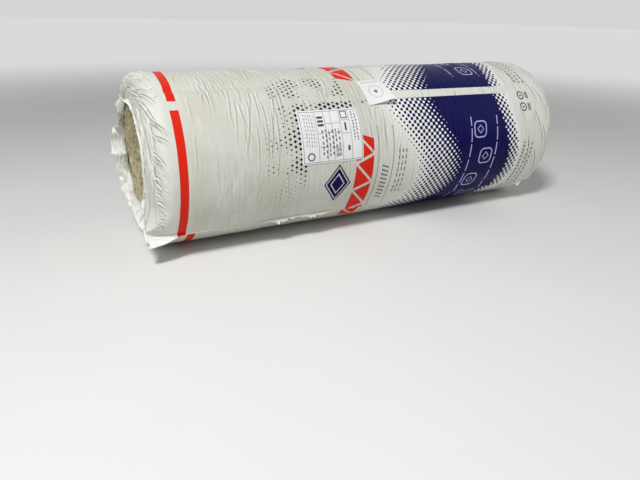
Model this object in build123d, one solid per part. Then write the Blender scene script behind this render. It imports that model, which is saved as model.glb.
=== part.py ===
from build123d import *
import math
import os

# A roll of glass wool insulation in its printed film sleeve, lying on its side.
# Millimetres. X runs along the roll, towards its far end. Y runs away from the side that carries the
# label. Z is up, and the roll rests on Z = 0. The origin is under the middle of the whole length.
# Angles round the roll start at the top and grow towards the label side, which is -Y.

# Driving dimensions of the mat and of the way it is wound
mat_length = 11000.0
mat_width = 1200.0
eye_diameter = 30.0
turn_gap_width = 4.5
turn_gap_depth = 5.0
pressed_band = 48.0

# Driving dimensions of the film sleeve
wrapped_diameter = 415.0
film_thickness = 1.0
film_clearance = 0.4
end_slack = 12.0
near_rounding = 35.0
far_rounding = 70.0
film_rim_bands = 6
wool_rim_bands = 3

# The open mouth in each end wall: half width, half height, and how far off the roll's axis it sits
near_mouth_half_width = 108.0
near_mouth_half_height = 130.0
near_mouth_away = 30.0
near_mouth_up = 14.0
far_mouth_half_width = 95.0
far_mouth_half_height = 107.0
far_mouth_away = 8.0
far_mouth_up = -6.0

# The loose collar that stands out round each mouth, low on the label side and high on the other
near_collar_reach = 30.0
far_collar_reach = 18.0
collar_low_share = 0.1

# The lap of the film along the lower front
lap_edge_angle = 133.0
lap_start_angle = 96.0
lap_step = 1.2
lap_root_depth = 0.5

# The corner of the lap that has peeled off and hangs over the near end
flap_length = 120.0
flap_reach = 30.0
flap_curl_radius = 30.0
flap_overhang = 20.0
flap_root = 4.0

# The data label and the small tag
label_width = 170.0
label_height = 130.0
label_from_near_end = 341.0
label_top_angle = 53.0
tag_width = 72.0
tag_height = 82.0
tag_from_near_end = 548.0
tag_top_angle = 28.8
tag_turn = 3.0
sticker_thickness = 0.4
sticker_clearance = 0.4

# What follows from them
wrapped_radius = wrapped_diameter / 2
film_inner_radius = wrapped_radius - film_thickness
wool_radius = film_inner_radius - film_clearance
eye_radius = eye_diameter / 2
turn_pitch = math.pi * (wool_radius**2 - eye_radius**2) / mat_length
film_length = mat_width + 2 * (end_slack + film_thickness)
overall_length = film_length + near_collar_reach + far_collar_reach
near_wall = -overall_length / 2 + near_collar_reach
far_wall = overall_length / 2 - far_collar_reach
wool_near = near_wall + film_thickness + end_slack
wool_far = far_wall - film_thickness - end_slack
rim_gap = 2 * film_clearance
roll_centre = Location((0, 0, wrapped_radius))


def rim(wall_x, outward, rounding, inset, end_x, bands):
    """Points (X, radius) of a rounded rim, in flat bands from the end plane to the straight side.

    The rounding is drawn about the sleeve's own centre, and inset is how far inside the sleeve it runs.
    """
    centre_x = wall_x - outward * rounding
    centre_radius = wrapped_radius - rounding
    radius = rounding - inset
    start = math.acos(min(1.0, abs(end_x - centre_x) / radius))
    points = []
    for band in range(bands + 1):
        turn = start + (math.pi / 2 - start) * band / bands
        points.append((centre_x + outward * radius * math.cos(turn), centre_radius + radius * math.sin(turn)))
    return points


def profile(near_end, far_end, inset, bands):
    """The outline of a drum with two rounded rims, this far inside the sleeve, from end to end."""
    near = rim(near_wall, -1, near_rounding, inset, near_end, bands)
    far = rim(far_wall, 1, far_rounding, inset, far_end, bands)
    return near + far[::-1]


def turn_gaps(end_x, outward, rim_radius):
    """The gaps between the turns on one flat end: a V groove in half circles about two centres in turn.

    The outermost turns are pressed shut by the gathered film, so the gaps stop short of the rim.
    """
    centre_shift = turn_pitch / 4
    radius = eye_radius + turn_pitch
    side = 1
    gaps = []
    while radius < rim_radius - pressed_band:
        section = make_face(
            Polyline(
                (end_x - outward * turn_gap_depth, side * radius),
                (end_x + outward * turn_gap_depth, side * radius - turn_gap_width),
                (end_x + outward * turn_gap_depth, side * radius + turn_gap_width),
                close=True,
            )
        )
        groove = revolve(section, axis=Axis.X, revolution_arc=180)
        gaps.append(Pos(0, -side * centre_shift, 0) * groove)
        radius += turn_pitch / 2
        side = -side
    return gaps


def make_wool_roll():
    """The wound mat: one turned solid with its eye, and its turns cut into both ends."""
    outline = profile(wool_near, wool_far, film_thickness + rim_gap, wool_rim_bands)
    outline = [(wool_near, eye_radius)] + outline + [(wool_far, eye_radius)]
    roll = revolve(make_face(Polyline(*outline, close=True)), axis=Axis.X)
    near_gaps = turn_gaps(wool_near, -1, outline[1][1])
    far_gaps = turn_gaps(wool_far, 1, outline[-2][1])
    return roll_centre * (roll - near_gaps - far_gaps)


def collar(wall_x, outward, reach, half_width, half_height, away, up):
    """A thin oval lip round a mouth, cut on a slant so that it stands tall on the +Y side only."""
    rooted = Plane.YZ.offset(wall_x - outward * film_thickness)
    ring = Ellipse(half_width + film_thickness, half_height + film_thickness)
    lip = extrude(rooted * (ring - Ellipse(half_width, half_height)), outward * (reach + film_thickness))
    low = reach * collar_low_share
    span = 2 * (half_width + film_thickness)
    slant = math.degrees(math.atan2(reach - low, span))
    middle = wall_x + outward * (reach + low) / 2
    keep_side = Box(span, 2 * span, 2 * span, align=(Align.MIN, Align.CENTER, Align.CENTER))
    if outward > 0:
        keep_side = mirror(keep_side, Plane.YZ)
    keep_side = Pos(middle, 0, 0) * Rot(0, 0, outward * -slant) * keep_side
    return Pos(0, away, up) * (lip & keep_side)


def round_point(radius, angle):
    """A point of the cross section (Y, Z), by its distance from the axis and its angle from the top."""
    turn = math.radians(angle)
    return (-radius * math.sin(turn), radius * math.cos(turn))


def make_lap():
    """The outer layer of the lap: it swells out of the sleeve and ends in a step."""
    middle_angle = (lap_start_angle + lap_edge_angle) / 2
    root_radius = wrapped_radius - lap_root_depth
    outer = ThreePointArc(
        round_point(wrapped_radius, lap_start_angle),
        round_point(wrapped_radius + lap_step / 2, middle_angle),
        round_point(wrapped_radius + lap_step, lap_edge_angle),
    )
    edge = Line(outer @ 1, round_point(root_radius, lap_edge_angle))
    inner = ThreePointArc(
        edge @ 1,
        round_point(root_radius, middle_angle),
        round_point(root_radius, lap_start_angle),
    )
    start = Line(inner @ 1, outer @ 0)
    section = Plane.YZ.offset(near_wall + near_rounding) * make_face([outer, edge, inner, start])
    return extrude(section, film_length - near_rounding - far_rounding)


def make_flap():
    """The peeled corner: a thin strip that curls off the lap's edge and tapers to nothing."""
    outer_radius = wrapped_radius + lap_step
    hinge = outer_radius + flap_curl_radius
    centre = Vector(*round_point(hinge, lap_edge_angle))
    curl = math.degrees(flap_reach / flap_curl_radius)

    def curl_point(radius, swing):
        """A point of the curl, this far round from where it leaves the sleeve."""
        turn = math.radians(lap_edge_angle - swing)
        return (centre.X + radius * math.sin(turn), centre.Y - radius * math.cos(turn))

    near_radius = flap_curl_radius
    back_radius = flap_curl_radius + film_thickness
    root = -math.degrees(flap_root / flap_curl_radius)
    middle = (root + curl) / 2
    outside = ThreePointArc(
        curl_point(near_radius, root), curl_point(near_radius, middle), curl_point(near_radius, curl)
    )
    tip = Line(outside @ 1, curl_point(back_radius, curl))
    inside = ThreePointArc(
        tip @ 1, curl_point(back_radius, middle), curl_point(back_radius, root)
    )
    back = Line(inside @ 1, outside @ 0)
    near_x = near_wall - flap_overhang
    section = Plane.YZ.offset(near_x) * make_face([outside, tip, inside, back])
    strip = extrude(section, flap_length)
    foot = round_point(wrapped_radius, lap_edge_angle)
    low = curl_point(back_radius, curl)
    slant = make_face(
        Polyline(
            (near_x + flap_length, foot[1] - flap_root),
            (near_x + flap_length, low[1] - flap_reach),
            (near_x - flap_root, low[1] - flap_reach),
            (near_x, low[1]),
            close=True,
        )
    )
    waste = extrude(Plane.XZ * slant, 2 * wrapped_radius, both=True)
    return strip - waste


def make_film_wrap():
    """The sleeve: a thin shell over the roll and its rims, with a mouth and a collar at each end."""
    outside = profile(near_wall, far_wall, 0.0, film_rim_bands)
    inside = profile(
        near_wall + film_thickness, far_wall - film_thickness, film_thickness, film_rim_bands
    )
    outside = [(near_wall, 0)] + outside + [(far_wall, 0)]
    inside = [(near_wall + film_thickness, 0)] + inside + [(far_wall - film_thickness, 0)]
    shell = revolve(make_face(Polyline(*outside, *inside[::-1], close=True)), axis=Axis.X)
    near_mouth = Pos(0, near_mouth_away, near_mouth_up) * extrude(
        Plane.YZ.offset(near_wall) * Ellipse(near_mouth_half_width, near_mouth_half_height),
        2 * film_thickness,
    )
    far_mouth = Pos(0, far_mouth_away, far_mouth_up) * extrude(
        Plane.YZ.offset(far_wall) * Ellipse(far_mouth_half_width, far_mouth_half_height),
        -2 * film_thickness,
    )
    near_collar = collar(
        near_wall, -1, near_collar_reach,
        near_mouth_half_width, near_mouth_half_height, near_mouth_away, near_mouth_up,
    )
    far_collar = collar(
        far_wall, 1, far_collar_reach,
        far_mouth_half_width, far_mouth_half_height, far_mouth_away, far_mouth_up,
    )
    sleeve = shell - [near_mouth, far_mouth]
    return roll_centre * (sleeve + near_collar + far_collar + make_lap() + make_flap())


def sticker(width, height, from_near_end, top_angle, turn):
    """A thin plate bent round the sleeve, cut from a tube by a prism that looks at the roll's axis."""
    inner = wrapped_radius + sticker_clearance
    outer = inner + sticker_thickness
    middle_angle = top_angle + math.degrees(height / 2 / wrapped_radius)
    middle_x = near_wall + from_near_end + width / 2
    reach = outer * math.sin(height / 2 / wrapped_radius)
    span = 2 * (width + height)
    tube = extrude(Plane.YZ.offset(middle_x) * (Circle(outer) - Circle(inner)), span / 2, both=True)
    prism = Box(width, 2 * reach, 2 * outer, align=(Align.CENTER, Align.CENTER, Align.MIN))
    prism = Pos(middle_x, 0, 0) * Rot(middle_angle, 0, 0) * Rot(0, 0, turn) * prism
    return roll_centre * (tube & prism)


def make_data_label():
    """The data label, square to the roll."""
    return sticker(label_width, label_height, label_from_near_end, label_top_angle, 0.0)


def make_small_tag():
    """The small tag, stuck on a little askew."""
    return sticker(tag_width, tag_height, tag_from_near_end, tag_top_angle, tag_turn)


nodes = {
    "wool_roll": make_wool_roll,
    "film_wrap": make_film_wrap,
    "data_label": make_data_label,
    "small_tag": make_small_tag,
}

os.makedirs("parts", exist_ok=True)
for name, make in nodes.items():
    solid = make()
    export_step(solid, f"parts/{name}.step")
    box = solid.bounding_box()
    print(name, "solids", len(solid.solids()), "volume", round(solid.volume), box)
print("turn pitch", round(turn_pitch, 2))
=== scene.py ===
import math

import bpy
import numpy as np
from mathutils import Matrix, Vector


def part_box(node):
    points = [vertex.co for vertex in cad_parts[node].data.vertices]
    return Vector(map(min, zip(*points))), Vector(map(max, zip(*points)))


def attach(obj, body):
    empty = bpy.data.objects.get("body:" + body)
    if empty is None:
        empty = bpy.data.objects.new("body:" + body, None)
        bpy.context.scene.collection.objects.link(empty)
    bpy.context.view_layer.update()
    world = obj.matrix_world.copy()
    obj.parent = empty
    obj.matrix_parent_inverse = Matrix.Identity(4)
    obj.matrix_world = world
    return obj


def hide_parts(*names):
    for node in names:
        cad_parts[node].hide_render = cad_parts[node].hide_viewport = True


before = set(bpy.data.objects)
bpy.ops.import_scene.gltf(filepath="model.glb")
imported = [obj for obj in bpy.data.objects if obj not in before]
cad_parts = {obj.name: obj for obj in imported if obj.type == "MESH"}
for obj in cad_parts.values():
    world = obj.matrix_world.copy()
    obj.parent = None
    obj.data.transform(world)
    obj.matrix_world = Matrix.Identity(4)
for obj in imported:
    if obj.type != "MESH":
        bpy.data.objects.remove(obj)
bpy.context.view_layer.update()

# A roll of glass wool in a printed film sleeve, lying on a pale floor.
# Lengths are millimetres until a mesh is made. Places on the film are given as on the flat sheet:
# along is the distance from the sleeve's near end wall, and arc is the distance round the roll from
# its top, growing towards the label side (-Y). Angles round the roll are degrees from the top.
MM = 0.001

# The sleeve, from the frame
film_low, film_high = (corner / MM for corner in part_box("film_wrap"))
wool_low, wool_high = (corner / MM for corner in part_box("wool_roll"))
near_collar_reach = 30.0
far_collar_reach = 18.0
radius = film_high.y
near_wall = film_low.x + near_collar_reach
far_wall = film_high.x - far_collar_reach
sleeve_length = far_wall - near_wall
arc_per_degree = math.radians(radius)
film_thickness = 0.7
floor_gap = 0.25

# The rims and the mouths: half width, half height, and how far off the axis each mouth sits
near_end = dict(wall=near_wall, outward=-1, rounding=35.0, half_width=108.0, half_height=130.0,
                away=30.0, up=14.0, bulge=9.0, slack=0.52)
far_end = dict(wall=far_wall, outward=1, rounding=70.0, half_width=95.0, half_height=107.0,
               away=8.0, up=-6.0, bulge=4.0, slack=0.55)

# The lap: where the sheet starts under itself, where its free edge is and how it steps up
sheet_start = -238.0
lap_edge = 131.0
lap_rise = 1.5
lap_rise_between = (104, 120)
under_sink = 0.6
under_sink_between = (-232, -222)
lap_lift = 3.0
lap_lift_over = 7.0

# The lap's hem beyond that line: its plain reach, the torn stretch with its two tongues, and a far tip
hem_reach = 2.6
hem_turn = 95.0
torn_reach = 8.0
torn_between = (235, 262)
torn_until = (420, 470)
torn_tongues = ((11.0, 297, 17), (8.0, 388, 14))
torn_first_turn = 74.0
torn_turn_more = 30.0
tip_reach = 19.0
tip_along = 1136.0
tip_half_width = 20.0

# The sheet's corner, which hangs loose over the near end: its place and the flap that it carries
corner_overhang = 26.0
corner_radius = 195.0
corner_angle = 130.0
corner_gathers_from = 108.0
corner_gathers_back = -200.0
mouth_shear = 38.0
lip_before_collar = 5
lip_curl = 15
flap_reach = 32.0
flap_fade = 92.0
flap_until = (100, 150)
flap_first_turn = 72.0
flap_last_turn = 96.0

# The body's long swells, each as height, angle and width: the flattened top, a ridge, a groove on the
# near part only, the line it rests on, and the full near shoulder
top_flat = (-1.5, 2.0, 25.0)
ridge = (0.9, 37.0, 7.0)
groove = (-3.6, 30.5, 2.6)
groove_until = (300, 420)
rest_line = (1.6, -180, 14)
near_shoulder = (3.4, 2, 34)

# Rows run round the roll and columns run along it. Steps are degrees for rows, millimetres for columns
close_rows_from = -22.0
close_step = 0.65
open_step = 1.5
near_close_step = 0.40
near_open_step = 1.3
flap_rows = 12
lip_columns = 20
lip_columns_inside = 8
hem_rows_inside = 4
near_cap_columns = 100
far_cap_columns = 50
blend_columns = 8
blend_from = 28
blend_to = 48
near_step = 2.2
busy_step = 1.5
busy_from = 104.0
busy_to = 322.0
middle_step = 2.4
far_step = 2.6
film_pieces = ("film_near_end", "film_body_near", "film_body_far", "film_far_end")
piece_limits = (76.0, 522.0, 1082.0)


def lattice(i, j, seed):
    """A fixed random number from 0 to 1 for each whole-number point of the plane."""
    mixed = (i * 374761393 + j * 668265263 + seed * 974634777) & 0xFFFFFFFF
    mixed = ((mixed ^ (mixed >> 13)) * 1274126177) & 0xFFFFFFFF
    return ((mixed ^ (mixed >> 16)) & 0xFFFF) / 65535


def noise(u, v, seed):
    """Smooth random relief from -1 to 1 with features about one unit across."""
    u = np.asarray(u, float)
    v = np.asarray(v, float)
    i = np.floor(u).astype(np.int64)
    j = np.floor(v).astype(np.int64)
    a = u - i
    b = v - j
    a = a * a * (3 - 2 * a)
    b = b * b * (3 - 2 * b)
    low = lattice(i, j, seed) * (1 - a) + lattice(i + 1, j, seed) * a
    high = lattice(i, j + 1, seed) * (1 - a) + lattice(i + 1, j + 1, seed) * a
    return 2 * (low * (1 - b) + high * b) - 1


def ripple(u, seed):
    """Noise along a line."""
    return noise(u, 0 * u, seed)


def cloud(u, v, seed, octaves=3):
    """Noise at several scales added up."""
    total = 0
    share = 1.0
    for octave in range(octaves):
        total = total + share * noise(u * 2**octave, v * 2**octave, seed + octave)
        share = share / 2
    return total


def creases(u, v, seed):
    """Sharp narrow ridges from 0 to 1 where the noise passes through zero."""
    return (1 - np.abs(noise(u, v, seed))) ** 4


def smooth(low, high, value):
    """A soft step from 0 at low to 1 at high."""
    share = np.clip((value - low) / (high - low), 0, 1)
    return share * share * (3 - 2 * share)


def fade(low, high, value):
    """A soft step from 1 at low to 0 at high."""
    return 1 - smooth(low, high, value)


def hill(value, middle, width):
    """A soft hill of height 1."""
    return np.exp(-(((value - middle) / width) ** 2))


def swell(value, form):
    """A soft hill given as height, middle and width."""
    height, middle, width = form
    return height * hill(value, middle, width)


def xyz(x, y, z):
    """Points from their three coordinates."""
    return np.stack(np.broadcast_arrays(x, y, z), axis=-1)


def ring_point(angle):
    """The unit direction (Y, Z) from the axis at this angle from the top."""
    turn = np.radians(angle)
    return -np.sin(turn), np.cos(turn)


def softened(relief, rounds):
    """The relief with its small bumps evened out."""
    for _ in range(rounds):
        padded = np.pad(relief, 1, mode="edge")
        relief = padded[1:-1, 1:-1] * 2 + padded[:-2, 1:-1] + padded[2:, 1:-1]
        relief = (relief + padded[1:-1, :-2] + padded[1:-1, 2:]) / 6
    return relief


def fold(along, arc, start, end, height, width, bend):
    """One crease of the film: a sharp ridge with a soft dip beside it, fading out at both ends.

    start and end are (along, degrees) places on the sheet; bend bows the line sideways.
    """
    a0, b0 = start[0], start[1] * arc_per_degree
    a1, b1 = end[0], end[1] * arc_per_degree
    length = math.hypot(a1 - a0, b1 - b0)
    way = ((a1 - a0) / length, (b1 - b0) / length)
    travel = ((along - a0) * way[0] + (arc - b0) * way[1]) / length
    relief = np.zeros(np.shape(along))
    near = (travel > 0) & (travel < 1)
    travel = travel[near]
    side = (along[near] - a0) * way[1] - (arc[near] - b0) * way[0]
    side = side - bend * 4 * travel * (1 - travel) - 0.35 * width * ripple(travel * length / 22, 5)
    shown = smooth(0, 0.18, travel) * fade(0.3, 1, travel) ** 0.8
    ridge_and_dip = np.exp(-np.abs(side) / width) - 0.6 * hill(side, 2.1 * width, 1.5 * width)
    relief[near] = height * shown * ridge_and_dip
    return relief


def folded(relief, along, arc, folds, gain):
    """The relief with these creases laid over it."""
    for start, end, height, width, bend in folds:
        relief = relief + fold(along, arc, start, end, gain * height, width, bend)
    return relief


# The larger creases of the body, each from (along, degrees) to (along, degrees), height, width, bend
body_folds = [
    ((177, -6), (188, 34), 1.3, 1.7, 3), ((187, 30), (168, 62), 1.0, 1.6, 4),
    ((206, 2), (238, 33), 1.4, 1.7, 4), ((238, 30), (214, 62), 1.1, 1.6, 5),
    ((226, 42), (190, 84), 1.4, 1.7, 6), ((262, -8), (295, 32), 1.3, 1.7, 5),
    ((295, 28), (272, 62), 1.9, 1.7, 5), ((276, 50), (254, 86), 1.4, 1.7, 4),
    ((280, -4), (311, 34), 1.7, 1.7, 4), ((311, 30), (298, 70), 1.2, 1.7, 3),
    ((128, 26), (136, 52), 1.3, 1.7, 3), ((142, 24), (148, 50), 0.9, 1.7, 2),
    ((195, 40), (176, 74), 1.0, 1.6, 3), ((204, 44), (200, 70), 0.8, 1.6, 2),
    ((246, 36), (236, 70), 1.0, 1.6, 3), ((258, 40), (246, 92), 1.2, 1.7, 5),
    ((287, 46), (270, 100), 1.0, 1.7, 4), ((232, 58), (222, 98), 0.8, 1.7, 3),
    ((152, 2), (160, 26), 0.8, 1.7, 2), ((332, -12), (348, 26), 1.5, 1.9, 3),
    ((346, -8), (358, 24), 0.9, 1.9, 2), ((372, -14), (386, 22), 1.1, 1.9, 3),
    ((420, -10), (430, 26), 0.8, 1.9, 2), ((452, -12), (462, 22), 1.0, 1.9, 3),
    ((505, -12), (512, 26), 0.8, 1.9, 2), ((548, -10), (558, 20), 0.9, 1.9, 3),
    ((610, -12), (616, 30), 0.7, 2.0, 2), ((668, -10), (676, 34), 0.7, 2.0, 2),
    ((300, 92), (304, 124), 0.7, 1.8, 2), ((532, 60), (530, 120), 0.8, 1.9, 3),
    ((700, 60), (700, 110), 0.6, 2.0, 2), ((1050, -8), (1072, 40), 0.9, 2.2, 4),
    ((1078, 10), (1096, 62), 0.8, 2.2, 4), ((1112, -14), (1150, 24), 1.8, 2.2, 5),
    ((1126, 8), (1170, 40), 2.0, 2.2, 6), ((1108, 30), (1146, 66), 1.5, 2.2, 5),
    ((1140, 44), (1178, 74), 2.2, 2.2, 5), ((1120, 64), (1160, 96), 1.6, 2.2, 5),
    ((1150, 78), (1184, 104), 2.0, 2.2, 4), ((1130, 98), (1166, 126), 1.6, 2.2, 4),
    ((1160, 20), (1196, 50), 1.8, 2.2, 4), ((1092, 84), (1116, 122), 1.0, 2.2, 3),
]
body_fold_gain = 1.25
small_folds = 260
small_fold_seed = 41

# Creases of the near shoulder, likewise, from the mouth side to the ring side: first the barbs, then
# the long soft folds beside the mouth that they leave
shoulder_folds = [
    ((-5, 51), (34, 66), 3.6, 1.5, 6), ((2, 54), (39, 64), 2.2, 1.4, 5),
    ((-6, 60), (14, 69), 2.6, 1.4, 4), ((2, 63), (37, 69), 2.6, 1.5, 4),
    ((-12, 72), (20, 82), 3.6, 1.5, 5), ((-8, 77), (21, 80), 2.2, 1.4, 2),
    ((-22, 87), (10, 91), 3.0, 1.5, 4), ((-20, 91), (10, 97), 3.4, 1.5, 5),
    ((-24, 97), (2, 101), 2.0, 1.4, 3), ((-21, 103), (13, 108), 3.6, 1.5, 5),
    ((-9, 111), (13, 115), 2.2, 1.4, 3), ((-5, 116.5), (15, 119), 2.0, 1.4, 2),
    ((-11, 121.5), (9, 124), 2.0, 1.4, 3), ((-3, 126), (17, 128), 1.5, 1.4, 2),
    ((12, 3), (28, 27), 2.0, 1.6, 4), ((-24, 2), (-16, 24), 2.6, 1.8, 3),
    ((4, 30), (38, 27), 2.2, 1.6, -4), ((-14, 28), (26, 45), 2.8, 1.6, 6),
    ((-4, 43), (11, 58), 2.6, 1.5, 4), ((12, 38), (40, 35), 1.8, 1.5, -3),
    ((-30, 18), (-6, 42), 2.8, 1.9, 5), ((0, 12), (18, 24), 1.8, 1.6, 3),
    ((-20, 12), (34, 17), 2.2, 1.6, 5), ((-16, -2), (26, 9), 2.4, 1.6, 5),
    ((-26, 22), (22, 33), 2.2, 1.6, 5), ((-20, 34), (8, 50), 2.4, 1.6, 4),
    ((-36, 6), (-4, -4), 2.2, 1.8, 3), ((-8, 18), (24, 21), 1.6, 1.5, 3),
    ((-30, 26), (-10, 36), 2.0, 1.7, 3), ((-10, 44), (-12, 84), 2.6, 2.4, 7),
    ((-18, 74), (-10, 112), 1.3, 2.4, -5), ((-34, 34), (-40, 78), 3.2, 2.6, -6),
    ((-40, 62), (-42, 110), 3.0, 2.6, 6), ((-55, 44), (-58, 98), 2.2, 2.6, 3),
]
shoulder_fold_gain = 1.25
front_barbs = 8
random_barbs = 46
random_barb_seed = 19


def scattered_folds():
    """Many small creases round the whole body, most of them near the near half and the top."""
    draw = np.random.default_rng(small_fold_seed)
    folds = []
    for _ in range(small_folds):
        along = 75 + 1030 * draw.random() ** 1.25
        angle = draw.uniform(sheet_start + 20, lap_edge - 4)
        if draw.random() < 0.45:
            angle = draw.normal(22, 30)
        if along < 190 and angle > 50 and draw.random() < 0.8:
            continue
        reach = draw.uniform(8, 34)
        lean = draw.normal(0.0, 0.3) * reach
        height = draw.uniform(0.3, 0.95)
        start = (along - lean / 2, angle - reach / 2)
        end = (along + lean / 2, angle + reach / 2)
        folds.append((start, end, height, draw.uniform(1.6, 2.2), draw.normal(0, 3.0)))
    return folds


def barb_stems():
    """The long soft crease that each of the front's barbs grows out of, nearer the mouth."""
    stems = []
    for (along, angle), _, height, _, bend in shoulder_folds[:front_barbs]:
        start = (along + 3, angle + 1.5)
        end = (along - 12, angle - 17)
        stems.append((start, end, 0.85 * height, 1.9, -0.8 * bend))
    return stems


def barbs_elsewhere():
    """Like creases on the rest of the near shoulder, out of the front's view."""
    draw = np.random.default_rng(random_barb_seed)
    barbs = []
    for angle in np.linspace(sheet_start + 24, -4, random_barbs) + draw.normal(0, 1.5, random_barbs):
        start = (draw.uniform(-26, 0), angle)
        end = (draw.uniform(8, 38), angle + draw.uniform(3, 15))
        barbs.append((start, end, draw.uniform(1.0, 2.4), draw.uniform(2.0, 2.8), draw.uniform(1, 5)))
    return barbs


all_body_folds = body_folds + scattered_folds()
all_shoulder_folds = shoulder_folds + barb_stems() + barbs_elsewhere()

# The film is stiffer under the two stickers
sticker_damping = 0.72
sticker_border = 8.0


def sticker_place(node):
    """(along low, along high, degrees low, degrees high) of a sticker in the frame."""
    points = np.array([vertex.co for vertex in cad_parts[node].data.vertices]) / MM
    along = points[:, 0] - near_wall
    angle = np.degrees(np.arctan2(-points[:, 1], points[:, 2] - radius))
    return along.min(), along.max(), angle.min(), angle.max()


label_place = sticker_place("data_label")
tag_place = sticker_place("small_tag")


def under_sticker(along, arc, place):
    """1 inside a sticker's place, falling to 0 over its border."""
    share = 1
    low, high, first, last = place
    edges = ((along, low, smooth), (along, high, fade),
             (arc, first * arc_per_degree, smooth), (arc, last * arc_per_degree, fade))
    for value, edge, step in edges:
        share = share * step(edge - sticker_border, edge + sticker_border, value)
    return share


def body_form(along, arc):
    """How far the film's main form stands off the true cylinder."""
    angle = arc / arc_per_degree
    form = 1.5 * cloud(along / 170, arc / 150, 11) + 0.4 * cloud(along / 50, arc / 120, 14, 2)
    form = form + swell(angle, top_flat) + swell(angle, ridge)
    form = form + swell(angle, groove) * fade(*groove_until, along)
    form = form + swell(angle, near_shoulder) * hill(along, 12, 26)
    return form + swell(angle, rest_line)


def body_creases(along, arc):
    """The fine relief of the film's body."""
    bend = 9 * noise(along / 90, arc / 70, 21)
    busy = 0.45 + 0.4 * noise(along / 120, arc / 110, 22) + 0.3 * hill(arc / arc_per_degree, 18, 34)
    busy = np.clip(busy, 0.08, 1) * smooth(60, 120, along) * (1 - 0.6 * smooth(900, 1100, along))
    relief = 0.4 * (creases((along + bend) / 21, arc / 210, 23) - 0.25)
    relief = relief + 0.22 * (creases((along + bend) / 11, arc / 120, 24) - 0.25)
    relief = folded(relief * busy, along, arc, all_body_folds, body_fold_gain)
    stiff = np.maximum(under_sticker(along, arc, label_place), under_sticker(along, arc, tag_place))
    return relief * (1 - sticker_damping * stiff)


# The near collar's large folds: at each angle, from the lap's corner round the far side to the front,
# how tall it stands and how far it turns outwards
collar_angles = [
    -238, -226, -214, -196, -184, -170, -158, -148, -138, -130, -124, -111, -102, -98,
    -86, -74, -66, -62, -58, -44, -34, -28, -14, -4, 12, 30, 133,
]
collar_heights = [
    3, 8, 24, 28, 26, 29, 28, 31, 31, 30, 30, 38, 40, 38,
    38, 36, 33, 30, 26, 20, 24, 22, 25, 15, 9, 7, 6,
]
collar_turns = [
    80, 88, 92, 108, 118, 88, 74, 96, 112, 108, 88, 66, 62, 128,
    120, 100, 112, 66, 60, 92, 128, 156, 162, 120, 66, 60, 58,
]


def loose_share(angle):
    """How far the near edge of the sheet has left the mouth for the loose corner: 1 at the corner."""
    front = smooth(corner_gathers_from, lap_edge, angle)
    back = fade(lap_edge - 360, corner_gathers_back, angle)
    return np.maximum(front, back)


def lip_shape(end, angle):
    """(standing height, final turn in degrees) of the torn collar, taller on the roll's far side."""
    tall = smooth(-178, -142, angle) * fade(-24, 12, angle)
    if end is near_end:
        ragged = 1.6 * ripple(angle / 13, 31) + 1.1 * ripple(angle / 3.4, 32)
        ragged = ragged + 0.7 * ripple(angle / 1.1, 38)
        height = np.interp(angle, collar_angles, collar_heights) + ragged * (0.25 + 0.75 * tall)
        turn = np.interp(angle, collar_angles, collar_turns)
        turn = turn + 4 * ripple(angle / 7, 33) + 22 * loose_share(angle)
    else:
        ragged = 2.5 * ripple(angle / 8, 34) + 1.2 * ripple(angle / 2.4, 35)
        height = 4.0 + 11 * tall + 4 * hill(angle, -182, 30) + ragged * (0.4 + 0.6 * tall)
        turn = 66 + 26 * tall + 14 * ripple(angle / 13, 36)
    return np.maximum(height, 2.5), turn


def mouth_point(end, angle):
    """(X, Y, Z) of the film's edge that faces the rim at this angle, measured from the axis."""
    near = end is near_end
    sheared = angle + (mouth_shear * smooth(50, lap_edge, angle) if near else 0)
    side, up = ring_point(sheared)
    wobble = 1 + 0.03 * ripple(sheared / 24, 37) + 0.012 * ripple(sheared / 7, 39)
    place = [
        np.full(angle.shape, end["wall"]),
        end["away"] + wobble * end["half_width"] * side,
        end["up"] + wobble * end["half_height"] * up,
    ]
    if near:
        corner_side, corner_up = ring_point(corner_angle)
        corner = [end["wall"] - corner_overhang, corner_radius * corner_side, corner_radius * corner_up]
        share = loose_share(angle)
        place = [(1 - share) * mine + share * loose for mine, loose in zip(place, corner)]
    return place


def lip_points(end, angle, edge, inward):
    """The collar's grid from the mouth's edge to its torn rim, crumpled as it curls."""
    height, turn = lip_shape(end, angle)
    length = height + lip_before_collar
    travel = np.linspace(0, 1, lip_columns)[None, :]
    bend = np.radians(turn) * smooth(0, 1, travel * length / lip_curl)
    step = length / (lip_columns - 1)
    forward = np.cumsum(np.cos(bend), axis=1) * step - step
    stand = np.cumsum(np.sin(bend), axis=1) * step
    crumple = creases(angle / 11 + 0.5 * travel, travel * 1.4, 40) - 0.3
    crumple = crumple + 0.3 * (creases(angle / 5 - 0.8 * travel, travel * 2.2, 44) - 0.3)
    crumple = crumple + 0.9 * noise(angle / 26 + 0.6 * travel, travel * 1.7, 45)
    stand = stand + crumple * np.minimum(length / 9, 3.8) * smooth(0.15, 0.8, travel)
    side, up = (first + way * forward for first, way in zip(edge[1:], inward))
    return xyz(edge[0] + end["outward"] * stand, side, up)


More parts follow.
